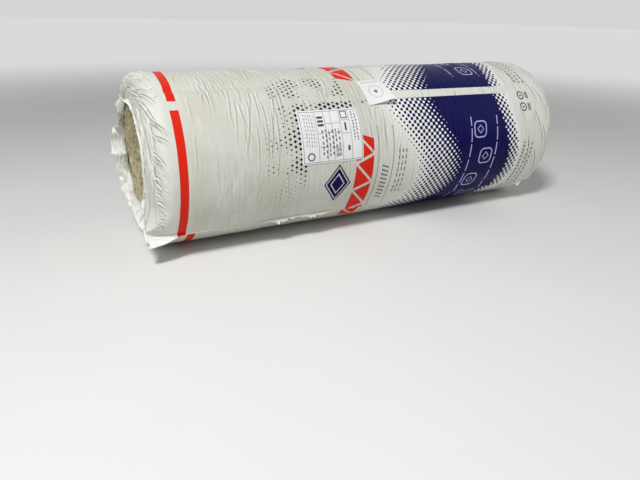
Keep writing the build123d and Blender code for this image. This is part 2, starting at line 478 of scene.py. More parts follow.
def cap_points(end, angle, columns):
    """One end's base surface, from the lip's rim to the straight side.

    Gives its points, how far in from the straight side they are, and 1 to 0 down the lip.
    """
    angle = angle[:, None]
    outward = end["outward"]
    side, up = ring_point(angle)
    rim = [np.full(angle.shape, end["wall"] - outward * end["rounding"]), radius * side, radius * up]
    edge = mouth_point(end, angle)
    reach = [0, rim[1] - edge[1], rim[2] - edge[2]]
    share = np.linspace(0, 1, columns)[None, :] ** 0.92
    bulges = (outward * end["bulge"] * (1 + 0.12 * ripple(angle / 16, 51)), 0, 0)
    pulls = (outward * end["rounding"] * 1.1, 0, 0)
    curve = []
    for first, gap, last, bulge, pull in zip(edge, reach, rim, bulges, pulls):
        second = first + gap * end["slack"] + bulge
        third = last + pull
        curve.append(
            first * (1 - share) ** 3
            + 3 * second * share * (1 - share) ** 2
            + 3 * third * share**2 * (1 - share)
            + last * share**3
        )
    size = np.hypot(reach[1], reach[2])
    lip = lip_points(end, angle, edge, (-reach[1] / size, -reach[2] / size))
    whole = np.concatenate([lip[:, :0:-1], np.stack(curve, axis=-1)], axis=1)
    steps = np.linalg.norm(np.diff(whole, axis=1), axis=2)
    inward = np.pad(np.cumsum(steps[:, ::-1], axis=1)[:, ::-1], ((0, 0), (0, 1)))
    lip_share = np.zeros(inward.shape)
    lip_share[:, :lip_columns] = np.linspace(1, 0, lip_columns)
    return whole, inward, lip_share


def cap_relief(end, inward, arc, from_mouth):
    """Puffs, pleats and creases of one end. inward grows from the rim towards the mouth."""
    grown = smooth(0, 40, inward)
    sheared = arc + 0.6 * inward + 0.012 * inward**2
    close = hill(from_mouth, 0, 34)
    puffs = 2.6 * cloud(sheared / 52, inward / 60, 61, 2) * grown
    waves = creases(sheared / 34, inward / 85, 62) - 0.3
    small = creases(sheared / 17, inward / 46, 63) - 0.3
    fine = creases(sheared / 8.5, inward / 30, 64) - 0.3
    shown = smooth(2, 22, inward) * (1 - 0.55 * close)
    shown = shown * (1 - 0.72 * smooth(-6, 24, arc / arc_per_degree))
    broken = 1.3 * small * noise(arc / 60, inward / 40, 65)
    relief = puffs + shown * (2.2 * waves + broken + 0.35 * fine)
    pleats = creases(arc / 21 + 0.4 * noise(arc / 40, inward / 30, 67), inward / 70, 66) - 0.3
    relief = relief + 2.6 * pleats * close * grown
    rolls = noise(inward / 15 + 0.6 * noise(arc / 60, inward / 60, 69), arc / 150, 68)
    relief = relief + 1.3 * rolls * hill(from_mouth, 24, 26) * grown
    return relief * (1.0 if end is near_end else 0.75)


def surface_normals(points):
    """Unit normals of a grid of points, pointing off the roll."""
    normal = np.cross(np.gradient(points, axis=0), np.gradient(points, axis=1))
    size = np.linalg.norm(normal, axis=2, keepdims=True)
    return normal / np.maximum(size, 1e-9)


def torn_share(along):
    """1 over the torn stretch of the lap's hem."""
    return smooth(*torn_between, along) * fade(*torn_until, along)


def flap_length(along):
    """How far the lap's edge hangs free beyond its line, at each place along the roll."""
    peeled = flap_reach * np.clip(1 - np.maximum(along + corner_overhang, 0) / flap_fade, 0, 1) ** 1.15
    torn = torn_reach * torn_share(along)
    for tongue in torn_tongues:
        torn = torn + swell(along, tongue)
    torn = torn * (0.55 + 0.45 * ripple(along / 9, 81) + 0.3 * ripple(along / 3, 82))
    tip = tip_reach * np.clip(1 - np.abs(along - tip_along) / tip_half_width, 0, 1)
    return peeled + np.maximum(torn, 0) + tip + (hem_reach + 0.7 * ripple(along / 30, 83))


def add_flap(points, along, arc):
    """Adds the rows beyond the lap's edge: its torn rim and the corner that has peeled away."""
    place = along[-1]
    length = flap_length(place) * (1 - 0.9 * smooth(sleeve_length - 14, sleeve_length + 20, place))
    peeled = fade(*flap_until, place)
    torn = torn_share(place)
    first_turn = np.radians(flap_first_turn * peeled + torn_first_turn * torn)
    last_turn = np.radians(flap_last_turn * peeled + hem_turn * (1 - peeled) + torn_turn_more * torn)
    side, up = ring_point(lap_edge)
    off = np.array([0, side, up])
    across = np.array([0, -up, side])
    at = points[-1]
    rows = [points]
    arcs = [arc]
    for step in range(1, flap_rows + 1):
        share = step / flap_rows
        turn = first_turn + (last_turn - first_turn) * (share - 0.5 / flap_rows)
        way = np.cos(turn)[:, None] * across + np.sin(turn)[:, None] * off
        at = at + (length / flap_rows)[:, None] * way
        wave = 1.2 * np.sin(place / 9) * share**2 * length / flap_reach
        crinkle = 2.2 * torn * noise(place / 6, 0 * place + 3 * share, 84) * share
        rows.append((at + (wave + crinkle)[:, None] * off)[None])
        arcs.append(arc[-1:] + length[None] * share)
    along = np.concatenate([along, np.repeat(along[-1:], flap_rows, axis=0)], axis=0)
    return np.concatenate(rows, axis=0), along, np.concatenate(arcs, axis=0)


def distance_to_mouth(inward, extra=0):
    """How far each column is from the mouth's edge, over the cap and a few columns of the body."""
    mouth = inward[:, [lip_columns - 1]]
    return np.concatenate([mouth - inward, mouth + np.arange(1, extra + 1) * near_step], axis=1)


# The painted crease shading, painted shade in the film's hollows and a painted highlight on its ridges:
# how far its neighbours are looked at, and the full depth. The coarse pair is for the stretches with wide
# rows
crease_shading_reach = 6
crease_shading_full = 0.34
coarse_reach = 16
coarse_full = 1.1


def crease_shading_share(relief, along, angles):
    """1 in the film's hollows, for painted shade, and -1 on its ridges, for a painted highlight."""
    close = np.clip((softened(relief, crease_shading_reach) - relief) / crease_shading_full, -1, 1)
    wide = np.clip((softened(relief, coarse_reach) - softened(relief, 2)) / coarse_full, -1, 1)
    both_ends = np.maximum(fade(30, 90, along), smooth(1060, 1120, along))
    coarse = np.maximum(smooth(1160, 1210, along), fade(-26, -6, angles) * both_ends)
    return close * (1 - coarse) + wide * coarse


def film_sheet(front_step, back_step):
    """The film as one grid with rows this many degrees apart: points, along, arc and painted crease
    shading.
    """
    back = np.arange(sheet_start, close_rows_from, back_step)
    front = np.arange(close_rows_from, lap_edge, front_step)
    angle = np.concatenate([back, front, [lap_edge]])
    near_cap, near_in, near_lip = cap_points(near_end, angle, near_cap_columns)
    far_cap, far_in, far_lip = (grid[:, ::-1] for grid in cap_points(far_end, angle, far_cap_columns))
    near_straight = near_end["rounding"]
    far_straight = sleeve_length - far_end["rounding"]
    stretches = (
        (near_straight + near_step, busy_from, near_step), (busy_from, busy_to, busy_step),
        (busy_to, piece_limits[1], middle_step), (piece_limits[1], far_straight, far_step),
    )
    along_body = np.concatenate([
        np.linspace(low, high, int((high - low) / step), endpoint=False)
        for low, high, step in stretches
    ])
    side, up = ring_point(angle)
    body = xyz(near_wall + along_body, (radius * side)[:, None], (radius * up)[:, None])
    points = np.concatenate([near_cap, body, far_cap], axis=1)
    along_body = np.broadcast_to(along_body, body.shape[:2])
    along = np.concatenate([near_straight - near_in, along_body, far_straight + far_in], axis=1)
    angles = np.broadcast_to(angle[:, None], along.shape)
    arc = angles * arc_per_degree

    form = body_form(along, arc) * smooth(-20, 60, along)
    form = form * fade(sleeve_length - 60, sleeve_length + 10, along)
    relief = body_creases(along, arc) * smooth(20, 60, along)
    near = np.s_[:, :near_in.shape[1] + blend_columns]
    from_mouth = distance_to_mouth(near_in, blend_columns)
    near_relief = cap_relief(near_end, blend_to - along[near], arc[near], from_mouth)
    near_relief = near_relief * (1 - np.pad(near_lip, ((0, 0), (0, blend_columns))))
    near_relief = near_relief * (1 - 0.8 * loose_share(angles[near]))
    relief[near] += near_relief * fade(blend_from, blend_to, along[near])
    far = np.s_[:, -far_in.shape[1]:]
    far_relief = cap_relief(far_end, far_in, arc[far], distance_to_mouth(far_in[:, ::-1])[:, ::-1])
    relief[far] += far_relief * (1 - far_lip) * smooth(0, 30, far_in)
    relief = folded(relief, along, arc, all_shoulder_folds, shoulder_fold_gain)
    # Painted shade for the hollows and a painted highlight for the ridges, from the creases before the
    # broad form
    painted_crease_shading = crease_shading_share(relief, along, angles)

    relief = form + relief + lap_rise * smooth(*lap_rise_between, angles)
    relief = relief - under_sink * fade(*under_sink_between, angles)
    lifted = lap_lift * smooth(lap_edge - lap_lift_over, lap_edge, angles)
    relief = relief + lifted * smooth(40, 70, along)
    points = points + surface_normals(points) * relief[..., None]
    points, along, arc = add_flap(points, along, arc)
    points[..., 2] = np.maximum(points[..., 2] + radius, floor_gap)
    return points, along, arc, np.pad(painted_crease_shading, ((0, flap_rows), (0, 0)))


def closed_film(front_step, back_step):
    """The film's grid with its free edges folded under, so that its thickness shows at lips and lap.

    loose is 1 on the inner side, kept says which faces aren't doubled, and outer lists the columns of
    the outer side.
    """
    points, along, arc, painted_crease_shading = film_sheet(front_step, back_step)
    inside = points - film_thickness * surface_normals(points)
    lip = lip_columns + lip_columns_inside
    hem = flap_rows + hem_rows_inside
    height, width = points.shape[:2]
    rows = np.concatenate([np.arange(height), np.arange(height - 1, height - hem, -1)])
    lip_columns_in = np.arange(lip + 1)
    columns = np.concatenate([lip_columns_in[::-1], np.arange(width), width - 1 - lip_columns_in])
    rows_inside = np.arange(len(rows)) >= height
    columns_inside = np.ones(len(columns), bool)
    columns_inside[lip + 1:lip + 1 + width] = False
    inner = rows_inside[:, None] | columns_inside
    whole = np.where(inner[..., None], inside[rows][:, columns], points[rows][:, columns])
    whole[..., 2] = np.maximum(whole[..., 2], floor_gap)
    # white is a painted highlight: the peeled flap, the lap's free edge and both collars' rims, fading
    # down the near collar
    white = np.zeros(points.shape[:2])
    white[-flap_rows:] = fade(110, 150, along[-1])
    white[-2:] = 1
    white[:, :3] = 1
    white[:, 3:lip_columns] = np.linspace(0.9, 0, lip_columns - 3)
    white[:, -3:] = 1
    return dict(
        points=whole,
        normals=surface_normals(whole),
        places=np.stack([along, arc, white], axis=-1)[rows][:, columns],
        loose=inner.astype(float),
        painted_crease_shading=np.where(inner, 0, painted_crease_shading[rows][:, columns]),
        kept=~(rows_inside[1:, None] & (columns_inside[:-1] | columns_inside[1:])),
        outer=np.flatnonzero(~columns_inside),
    )


def make_mesh(name, points, normals, places, faces, material, extra=None):
    """A mesh object in metres, with its own normals and the film's or label's flat places."""
    mesh = bpy.data.meshes.new(name)
    mesh.from_pydata((points * MM).tolist(), [], faces.tolist())
    mesh.polygons.foreach_set("use_smooth", np.ones(len(mesh.polygons), bool))
    sheet = mesh.attributes.new("sheet", "FLOAT_VECTOR", "POINT")
    sheet.data.foreach_set("vector", np.asarray(places, np.float32).ravel())
    for key, values in (extra or {}).items():
        attribute = mesh.attributes.new(key, "FLOAT", "POINT")
        attribute.data.foreach_set("value", np.asarray(values, np.float32).ravel())
    if normals is not None:
        mesh.normals_split_custom_set_from_vertices(normals.tolist())
    mesh.materials.append(material)
    mesh.update()
    made = bpy.data.objects.new(name, mesh)
    bpy.context.scene.collection.objects.link(made)
    print(name, "faces", 2 * len(mesh.polygons))
    return made


def grid_faces(rows, columns):
    """The four-sided faces of a grid of points."""
    index = np.arange(rows * columns).reshape(rows, columns)
    corners = [index[:-1, :-1], index[1:, :-1], index[1:, 1:], index[:-1, 1:]]
    return np.stack(corners, axis=-1).reshape(-1, 4)


def distance_down(line):
    """How far each point of a line is along it."""
    return np.cumsum(np.concatenate([[0], np.linalg.norm(np.diff(line, axis=0), axis=1)]))


def join_column(fine, coarse):
    """Puts a column of the fine grid on the straight edges between the coarse column's points."""
    low = distance_down(fine)
    high = distance_down(coarse)
    share = low / low[-1] * high[-1]
    for axis in range(3):
        fine[:, axis] = np.interp(share, high, coarse[:, axis])


def make_film(material):
    """The film's four pieces, which meet edge to edge. The near end has the finest rows."""
    grids = [closed_film(near_close_step, near_open_step), closed_film(close_step, open_step)]
    cuts = []
    for grid in grids:
        along = grid["places"][len(grid["places"]) // 2, grid["outer"], 0]
        cut = [grid["outer"][np.searchsorted(along, limit)] for limit in piece_limits]
        cuts.append([0] + cut + [grid["points"].shape[1] - 1])
    join_column(*(grid["points"][:, cut[1]] for grid, cut in zip(grids, cuts)))
    pieces = []
    for number, name in enumerate(film_pieces):
        finest = 0 if number == 0 else 1
        first, last = cuts[finest][number:number + 2]
        grid = grids[finest]
        part = {key: values[:, first:last + 1] for key, values in grid.items() if key != "outer"}
        kept = grid["kept"][:, first:last]
        faces = grid_faces(*part["loose"].shape)[kept.ravel()]
        used = np.unique(faces)
        vectors = ("points", "normals", "places")
        points, normals, places = (part[key].reshape(-1, 3)[used] for key in vectors)
        loose, painted_crease_shading = (part[key].ravel()[used] for key in ("loose", "painted_crease_shading"))
        extra = {"inside": loose, "painted_crease_shading": 0.5 + 0.5 * painted_crease_shading}
        faces = np.searchsorted(used, faces)
        pieces.append(make_mesh(name, points, normals, places * (MM, MM, 1), faces, material, extra))
    return pieces


# The two papers stuck on the film. Their outer side and their underside stand this far off it
paper_outside = 0.75
paper_underside = 0.12
label_step = 2.0
tag_size = (72.0, 82.0)
tag_turn = -5.0
tag_step = 1.6


def make_sticker(name, place, step, material, size=None, turn=0.0, lift=None):
    """A thin bent plate on the film at a sticker's place. lift gives how far its corners came off."""
    low, high, first, last = place
    width, height = size or (high - low, (last - first) * arc_per_degree)
    columns = int(width / step) + 1
    rows = int(height / step) + 1
    half_width = width / 2
    half_height = height / 2
    across = np.linspace(-half_width, half_width, columns)
    u, v = np.meshgrid(across, np.linspace(-half_height, half_height, rows))
    down = v + 0.5 * noise(u / 25, v / 25, 91)
    lean = math.radians(turn)
    along = (low + high) / 2 + u * math.cos(lean) - down * math.sin(lean)
    arc = (first + last) / 2 * arc_per_degree + u * math.sin(lean) + down * math.cos(lean)
    relief = softened(body_form(along, arc) + body_creases(along, arc), 5)
    relief = relief + 0.25 * noise(along / 11, arc / 60, 92)
    relief = relief + (lift(u / half_width, v / half_height) if lift else 0)
    side, up = ring_point(arc / arc_per_degree)
    top, bottom = (
        xyz(near_wall + along, (radius + relief + gap) * side, (radius + relief + gap) * up + radius)
        for gap in (paper_outside, paper_underside)
    )
    whole = np.pad(bottom, ((1, 1), (1, 1), (0, 0)), mode="edge")
    whole[1:-1, 1:-1] = top
    flat = xyz(u, v, 0 * u)
    places = np.pad(flat, ((1, 1), (1, 1), (0, 0)), mode="edge")
    under = whole.shape[0] * whole.shape[1] + grid_faces(rows, columns)[:, ::-1]
    faces = np.concatenate([grid_faces(*whole.shape[:2]), under])
    points = np.concatenate([whole.reshape(-1, 3), bottom.reshape(-1, 3)])
    places = np.concatenate([places.reshape(-1, 3), flat.reshape(-1, 3)]) * MM
    return make_mesh(name, points, None, places, faces, material)


def tag_lift(u, v):
    """The tag's lower corner on the far side stands off the roll, and its lower edge lifts a little off
    it.
    """
    corner = np.clip((u + 1) / 2, 0, 1) * np.clip((v + 1) / 2, 0, 1)
    return 20.0 * corner**1.9 + 1.2 * np.clip(v, 0, 1) ** 2


# The wool: the turns of the mat as they show in the mouths, out to where the film covers them
turn_pitch = 12.07
eye_radius = 15.0
turn_dip = 4.6
wool_ring_step = 1.4
wool_rows = 370
wool_shown = 162.0
wool_rim_inset = 14.0
eye_slope = 30.0
flank_from_near = 15
flank_before_far = 40
flank_above_rim = 5.0
wool_swell = 12.0
flank_columns = 24
wool_ends = ((near_end, wool_low.x, 101), (far_end, wool_high.x, 131))
fibres_per_end = (7500, 3750)
fibre_seed = 7
fibre_steps = 4
fibre_length = (5, 19)
fibre_width = (0.14, 0.34)


def wool_dome(end, distance, angle):
    """How far the pressed mat swells out inside the mouth; the film holds it back elsewhere."""
    side, up = ring_point(angle)
    across = (distance * side - end["away"]) / end["half_width"]
    upward = (distance * up - end["up"]) / end["half_height"]
    return wool_swell * (1 - 2.0 * smooth(0.97, 1.05, np.hypot(across, upward)))


def wool_relief(distance, angle, seed):
    """How far the cut end of the mat stands out: rounded turns, soft hollows and fibres."""
    turns = distance / turn_pitch - np.radians(angle) / (2 * math.pi)
    waver = 0.18 * noise(angle / 19, distance / 30, seed)
    waver = waver + 0.1 * noise(angle / 6, distance / 18, seed + 1)
    phase = np.mod(turns + waver, 1)
    layer = np.floor(turns + waver)
    roundness = 1 - np.abs(2 * phase - 1) ** 2.4
    number = layer.astype(np.int64)
    stands = 2.6 * (lattice(number, 0 * number, seed + 2) - 0.5)
    stands = stands + 2.2 * noise(angle / 26, layer * 3.1, seed + 3)
    arc = np.radians(angle) * distance
    streak = cloud(distance / 2.6, arc / 22, seed + 4, 3) * 0.75
    tufts = cloud(distance / 7, arc / 12, seed + 7, 2)
    return turn_dip * (roundness - 1) + stands + streak + tufts


def make_wool(material):
    """The wound mat in one closed skin: both fibrous ends, the side under the film and the eye."""
    turn = np.linspace(0, 360, wool_rows, endpoint=False)[:, None]
    side, up = ring_point(turn)
    rim = wool_high.y - wool_rim_inset
    shown = np.arange(eye_radius, wool_shown, wool_ring_step)
    covered = [wool_shown + 8, rim - 10, rim]
    distance = np.concatenate([[eye_radius - 2, eye_radius - 1], shown, covered])
    end_faces = []
    for end, plane, seed in wool_ends:
        relief = wool_relief(distance, turn, seed) * fade(wool_shown - 2, wool_shown + 6, distance)
        relief = relief + wool_dome(end, distance, turn)
        relief = np.where(distance < eye_radius, -eye_slope * (eye_radius - distance), relief)
        slump = -0.06 * np.maximum(distance - wool_shown, 0) ** 1.6
        place = plane + end["outward"] * (relief + slump)
        end_faces.append(xyz(place, distance * side, distance * up + radius))
    flank_x = np.linspace(wool_low.x + flank_from_near, wool_high.x - flank_before_far, flank_columns)
    reach = np.full(flank_columns, rim + flank_above_rim)
    reach[[0, -1]] = rim
    flank = xyz(flank_x, reach * side, reach * up + radius)
    skin = np.concatenate([end_faces[0], flank, end_faces[1][:, ::-1]], axis=1)
    index = np.arange(skin.shape[0] * skin.shape[1]).reshape(skin.shape[:2])
    ahead = np.roll(index, -1, axis=0)
    corners = [index, ahead, np.roll(ahead, -1, axis=1), np.roll(index, -1, axis=1)]
    faces = np.stack(corners, axis=-1).reshape(-1, 4)
    points = skin.reshape(-1, 3)
    return make_mesh("wool_mat", points, None, points * MM, faces, material)


def fibre_strip(end, plane, seed, draw, count):
    """The points of one end's fibres: (fibre, step along it, edge of the strip, XYZ)."""
    distance = np.sqrt(draw.uniform(eye_radius**2, (wool_shown - 18) ** 2, count))
    angle = draw.uniform(0, 360, count)
    base = wool_relief(distance, angle, seed) + wool_dome(end, distance, angle) - 0.6
    length = draw.uniform(*fibre_length, count)
    swing = np.radians(angle) + draw.normal(0, 0.45, count)
    rise = np.abs(draw.normal(0, 1.9, count)) + 0.3
    curve = draw.normal(0, 2.2, count)
    width = draw.uniform(*fibre_width, count)
    side, up = ring_point(angle)
    strips = []
    for step in range(fibre_steps):
        travel = step / (fibre_steps - 1) - 0.5
        bow = 1 - (2 * travel) ** 2
        for edge in (-0.5, 0.5):
            off_axis = distance + curve * bow + edge * width
            strips.append(
                xyz(
                    plane + end["outward"] * (base + rise * bow),
                    off_axis * side - length * travel * np.cos(swing),
                    off_axis * up - length * travel * np.sin(swing) + radius,
                )
            )
    return np.stack(strips, axis=1)


def make_fibres(material):
    """Loose fibres that stand off both cut ends of the mat, mostly along its turns."""
    draw = np.random.default_rng(fibre_seed)
    strips = [fibre_strip(*where, draw, count) for where, count in zip(wool_ends, fibres_per_end)]
    points = np.concatenate(strips)
    first = np.arange(len(points))[:, None] * (2 * fibre_steps) + 2 * np.arange(fibre_steps - 1)
    faces = np.stack([first, first + 2, first + 3, first + 1], axis=-1).reshape(-1, 4)
    points = points.reshape(-1, 3)
    return make_mesh("wool_fibres", points, None, points * MM, faces, material)


class Nodes:
    """A short way to write a node graph."""

    def __init__(self, tree):
        self.tree = tree

    def feed(self, socket, value):
        """Sets or links one input."""
        if isinstance(value, Value):
            self.tree.links.new(value.socket, socket)
        else:
            socket.default_value = value

    def add(self, kind, inputs, output=0, **settings):
        """Adds a node and gives one of its outputs."""
        node = self.tree.nodes.new(kind)
        for key, setting in settings.items():
            setattr(node, key, setting)
        for key, value in inputs.items():
            self.feed(node.inputs[key], value)
        return Value(self, node.outputs[output])

    def math(self, operation, *values, clamp=False):
        """Adds a Math node."""
        return self.add("ShaderNodeMath", dict(enumerate(values)), operation=operation, use_clamp=clamp)

    def attribute(self, name, output="Vector"):
        """Reads a value stored on the mesh."""
        return self.add("ShaderNodeAttribute", {}, output, attribute_name=name)

    def split(self, vector):
        """The X, Y and Z of a vector."""
        node = self.tree.nodes.new("ShaderNodeSeparateXYZ")
        self.feed(node.inputs[0], vector)
        return [Value(self, output) for output in node.outputs]

    def join(self, x, y, z=0.0):
        """A vector from its parts."""
        return self.add("ShaderNodeCombineXYZ", {0: x, 1: y, 2: z})

    def cloud(self, vector, scale, detail=3.0, roughness=0.5):
        """Noise from 0 to 1."""
        inputs = {"Vector": vector, "Scale": scale, "Detail": detail, "Roughness": roughness}
        return self.add("ShaderNodeTexNoise", inputs, "Fac")

    def blend(self, share, under, over):
        """One colour over another."""
        return self.add("ShaderNodeMix", {"Factor": share, 6: under, 7: over}, 2, data_type="RGBA")

    def layered(self, colour, *layers):
        """A colour with others laid over it in turn, each given as its share and itself."""
        for share, over in layers:
            colour = self.blend(share, colour, over)
        return colour

    def lines(self, vector, scale, width, detail=1.0):
        """Thin crease lines of height 1 where noise passes through its middle."""
        distance = (self.cloud(vector, scale, detail) - 0.5).abs()
        return self.math("POWER", self.math("SUBTRACT", 1.0, distance / width, clamp=True), 1.6)

    def bump(self, height, strength, distance):
        """Fine relief for the shader's normal."""
        inputs = {"Height": height, "Strength": strength, "Distance": distance}
        return self.add("ShaderNodeBump", inputs, "Normal")


class Surface(Nodes):
    """The node graph of one new material."""

    def __init__(self, name):
        self.material = bpy.data.materials.new(name)
        self.material.use_nodes = True
        super().__init__(self.material.node_tree)

    def shade(self, inputs):
        """Sets or links the shader's own inputs, and gives the finished material."""
        shader = self.tree.nodes["Principled BSDF"]
        for key, value in inputs.items():
            self.feed(shader.inputs[key], value)
        return self.material


def operator(operation, swapped=False):
    """A method that adds one Math node of two values."""

    def apply(self, other):
        pair = (other, self) if swapped else (self, other)
        return self.nodes.math(operation, *pair)

    return apply


class Value:
    """A number in a node graph, which adds and multiplies like any other."""

    __add__ = operator("ADD")
    __radd__ = operator("ADD", swapped=True)
    __sub__ = operator("SUBTRACT")
    __rsub__ = operator("SUBTRACT", swapped=True)
    __mul__ = operator("MULTIPLY")
    __rmul__ = operator("MULTIPLY", swapped=True)
    __truediv__ = operator("DIVIDE")
    least = operator("MINIMUM")
    most = operator("MAXIMUM")

    def __init__(self, nodes, socket):
        self.nodes = nodes
        self.socket = socket

    def abs(self):
        """The value without its sign."""
        return self.nodes.math("ABSOLUTE", self)

    def floor(self):
        """The whole number below the value."""
        return self.nodes.math("FLOOR", self)

    def wrap(self, period):
        """The value within one period, from 0 to the period."""
        return self.nodes.math("WRAP", self, period, 0.0)

    def wave(self, period):
        """A sine wave along the value."""
        return self.nodes.math("SINE", self * (2 * math.pi / period))

    def step(self, low, high):
        """A soft step from 0 at low to 1 at high."""
        inputs = {"Value": self, "From Min": low, "From Max": high}
        return self.nodes.add("ShaderNodeMapRange", inputs, interpolation_type="SMOOTHSTEP")

    def fade(self, low, high):
        """A soft step from 1 at low to 0 at high."""
        return 1.0 - self.step(low, high)

    def inside(self, edge=0.0, soft=0.5):
        """1 where a distance in millimetres is below the edge, with a soft rim."""
        return self.nodes.math("MULTIPLY_ADD", self, -1 / soft, 0.5 + edge / soft, clamp=True)


def box_distance(x, y, middle, half):
    """Distance to a rectangle's edge, below 0 inside."""
    return ((x - middle[0]).abs() - half[0]).most((y - middle[1]).abs() - half[1])


def box(x, y, middle, half, soft=1.0):
    """1 inside a rectangle, with a soft rim."""
    return box_distance(x, y, middle, half).inside(0.0, soft)


def band(value, middle, width, soft=0.6):
    """A line of this width along one value."""
    return (value - middle).abs().inside(width / 2, soft)


def length_of(x, y):
    """The length of a flat vector."""
    return x.nodes.math("SQRT", x * x + y * y)


def greeked(along, across, line_pitch, word, soft=0.8):
    """Rows of short dashes that stand in for lines of small print."""
    shifted = across + (along / line_pitch).floor() * 17.3
    words = shifted.wave(word) + shifted.wave(word * 0.37) * 0.7
    row = band(along.wrap(line_pitch), line_pitch / 2, line_pitch * 0.38, soft)
    return row * words.step(-0.35, -0.15)


# Inks, and the tones of the film, the papers, the wool and the floor, with the film's painted shade and
# painted highlights
RED = (0.66, 0.020, 0.008, 1)
NAVY = (0.0012, 0.0013, 0.064, 1)
LILAC = (0.46, 0.44, 0.74, 1)
GREY_INK = (0.16, 0.16, 0.19, 1)
DARK_INK = (0.035, 0.035, 0.055, 1)
SPOT_INK = (0.002, 0.002, 0.030, 1)
FILM_PRESSED = (0.550, 0.545, 0.470, 1)
FILM_MIDDLE = (0.625, 0.625, 0.570, 1)
FILM_LIFTED = (0.730, 0.735, 0.675, 1)
# Painted shade in the film's hollows and in patches of its collars, and a painted highlight on its ridges
FILM_PAINTED_SHADE = (0.320, 0.320, 0.280, 1)
FILM_PAINTED_HIGHLIGHT = (0.800, 0.805, 0.765, 1)
FILM_INSIDE = (0.680, 0.685, 0.640, 1)
FILM_PRINTED = (0.860, 0.865, 0.835, 1)
# Painted highlight for the film's edges, the collars' rims and the peeled flap
FILM_EDGE_HIGHLIGHT = (0.84, 0.845, 0.81, 1)
LABEL_DULL = (0.74, 0.75, 0.74, 1)
LABEL_BRIGHT = (0.80, 0.805, 0.79, 1)
TAG_DULL = (0.74, 0.76, 0.75, 1)
TAG_BRIGHT = (0.80, 0.81, 0.80, 1)
TAG_RING = (0.52, 0.55, 0.56, 1)
WOOL_DARK = (0.265, 0.220, 0.105, 1)
WOOL_STRAW = (0.590, 0.530, 0.310, 1)
WOOL_PALE = (0.830, 0.780, 0.545, 1)
WOOL_SPECK = (0.100, 0.072, 0.032, 1)
FIBRE_TINT = (0.640, 0.590, 0.380, 1)
FLOOR_DULL = (0.76, 0.76, 0.75, 1)
FLOOR_BRIGHT = (0.80, 0.80, 0.79, 1)
BLACK = (0, 0, 0, 1)
WHITE = (1, 1, 1, 1)

# The print, on the flat sheet, is a plain design of bands, dots, frames and dashes. across is the
# distance round from the bare stripe, and around is the same within one of the design's three repeats
stripe_middle = 43.3 * arc_per_degree
stripe_lean = 8.3 / 940
stripe_lean_from = 60.0
stripe_width = 23.5
design_period = 2 * math.pi * radius / 3
design_start = 62.0
ring_middle = 59.75
ring_width = 19.5
ring_lean = -0.022
ring_lean_from = 108.6
dot_pitch = 12.4
fade_start = 644.0
fade_end = 806.0
fade_wave = 48.0
fade_wave_place = 116.0
closing_start = 1000.0
closing_end = 1048.0
badge_row = 919.0
badge_pitch = 78.0
badge_shift = 28.0
badge_corner = 9.0
badge_round = 13.0
rule_places = (872.0, 970.0)
triangle_row = 518.0
triangle_pitch = 76.0
triangle_lean = 0.3
zigzag_from = 491.0
zigzag_reach = 54.0
zigzag_width = 8.4
lozenge_place = (443.0, 160.0)
spot_pitch = 12.2
spots_from = 246.0
spots_to = 420.0
spot_fields = (
    ((300.0, 165.0), (55.0, 150.0)),
    ((388.0, -40.0), (105.0, 34.0)),
    ((452.0, 24.0), (128.0, 12.0)),
)
late_rows_from = (1092.0, 1093.0)
ring_pair_along = 1083.0
ring_pair_bars = 1107.0


def halftone(along, across):
    """The navy band between its two dotted edges, and the bare white that shows through it."""
    wavy = fade_wave * (across - fade_wave_place).wave(design_period)
    opened = (along - wavy - fade_start) / (fade_end - fade_start)
    closed = (along - 0.5 * wavy - closing_start) / (closing_end - closing_start)
    bare = opened.step(-0.2, 0.3) * closed.fade(0.8, 1.4)
    slant = dot_pitch * math.sqrt(2)
    dots = 0.5 * ((along + across).wave(slant) + (along - across).wave(slant))
    opened = 2.0 * opened - 1.0
    opening = (opened * opened.abs() * (opened.abs() * -0.5 - 0.5) - dots).inside(0.0, 0.1)
    closed = 2.0 * closed - 1.0
    closing = (closed * closed * closed - dots).inside(0.0, 0.1)
    return opening * closing, bare


def badges(along, around):
    """Round-cornered frames with a lozenge in each, set off in turn, between two dashed rules."""
    dashes = (around.wrap(44.0) - 22.0).abs().inside(18.5, 0.8)
    rules = band(along, rule_places[0], 3.4) + band(along, rule_places[1], 3.4)
    rules = rules * box(along, around, (badge_row, 165.0), (80.0, 150.0)) * dashes
    in_row = box(along, around, (badge_row, 165.0), (40.0, 152.0))
    from_start = around - 12.0
    in_cell = (from_start.wrap(badge_pitch) - badge_pitch / 2).abs()
    aside = (from_start / badge_pitch).floor().wrap(2.0) - 0.5
    off_row = (along - badge_row - aside * badge_shift).abs()
    beyond = [value.most(badge_corner) - badge_corner for value in (off_row, in_cell)]
    frame_line = (length_of(*beyond) - badge_round).abs().inside(1.8, 0.6)
    lozenge = (off_row + in_cell - 11.0).abs().inside(1.6, 0.6)
    return (rules + (frame_line + lozenge) * in_row).least(1.0)


def triangles(along, around):
    """A leaning row of red triangles, parted by a zigzag."""
    lean = around - triangle_lean * (along - triangle_row)
    row = box(along, lean, (triangle_row, 176.0), (26.0, 134.0), 0.8)
    half = triangle_pitch / 2
    zigzag = ((lean - 4.0).wrap(triangle_pitch) - half).abs() - half * (along - zigzag_from) / zigzag_reach
    return row * (1.0 - zigzag.abs().inside(zigzag_width / 2, 0.8))


def striped_lozenge(along, around):
    """A navy lozenge with pale lines inside it."""
    reach = (along - lozenge_place[0]).abs() + (around - lozenge_place[1]).abs() * 0.7
    cut = band(reach.wrap(13.0), 6.0, 3.4, 0.8) * reach.step(10.0, 11.0)
    return reach.inside(38.0, 0.8) * (1.0 - cut)


